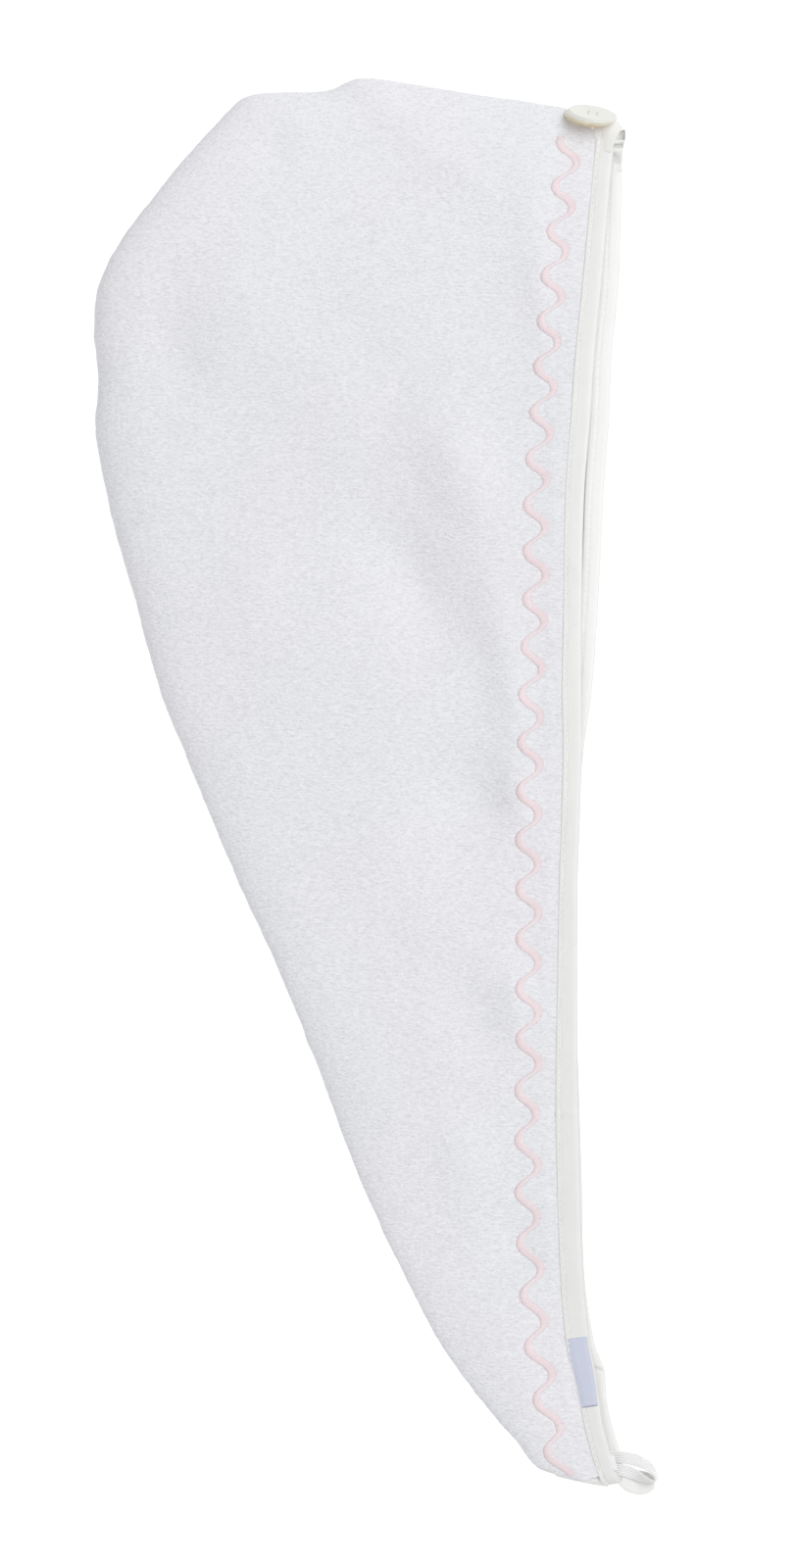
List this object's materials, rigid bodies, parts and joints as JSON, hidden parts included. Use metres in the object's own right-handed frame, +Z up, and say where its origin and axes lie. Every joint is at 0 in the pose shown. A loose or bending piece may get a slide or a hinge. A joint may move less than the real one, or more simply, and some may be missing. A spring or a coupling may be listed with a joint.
{
  "type": "hair towel",
  "caption": "Hooded terry hair towel lying flat: two shaped panels, a bound opening, a nape button, a tail with an elastic loop and a satin stitch wave.",
  "frame": {"origin": "middle of the towel's bounding box in plan, on the surface that it lies on", "axes": "+X across the hood towards its opening, +Y from the tail's tip to the top of the hood, +Z up from the surface"},
  "size_m": [0.2704, 0.6772, 0.0242],
  "materials": {
    "terry": "looped cotton terry, white",
    "binding": "plain woven cotton tape, off-white",
    "satin_thread": "satin stitch, pale pink",
    "label": "woven, pale blue, bare",
    "elastic": "ribbed flat elastic, white",
    "resin": "polished cream resin",
    "thread": "sewing thread, off-white"
  },
  "bodies": {
    "root": {"front_panel": "terry", "back_panel": "terry", "edge_binding": "binding", "wave_embroidery": "satin_thread", "side_label": "label", "elastic_loop": "elastic", "tape_tab": "binding", "button": "resin", "button_thread": "thread"}
  },
  "joints": []
}
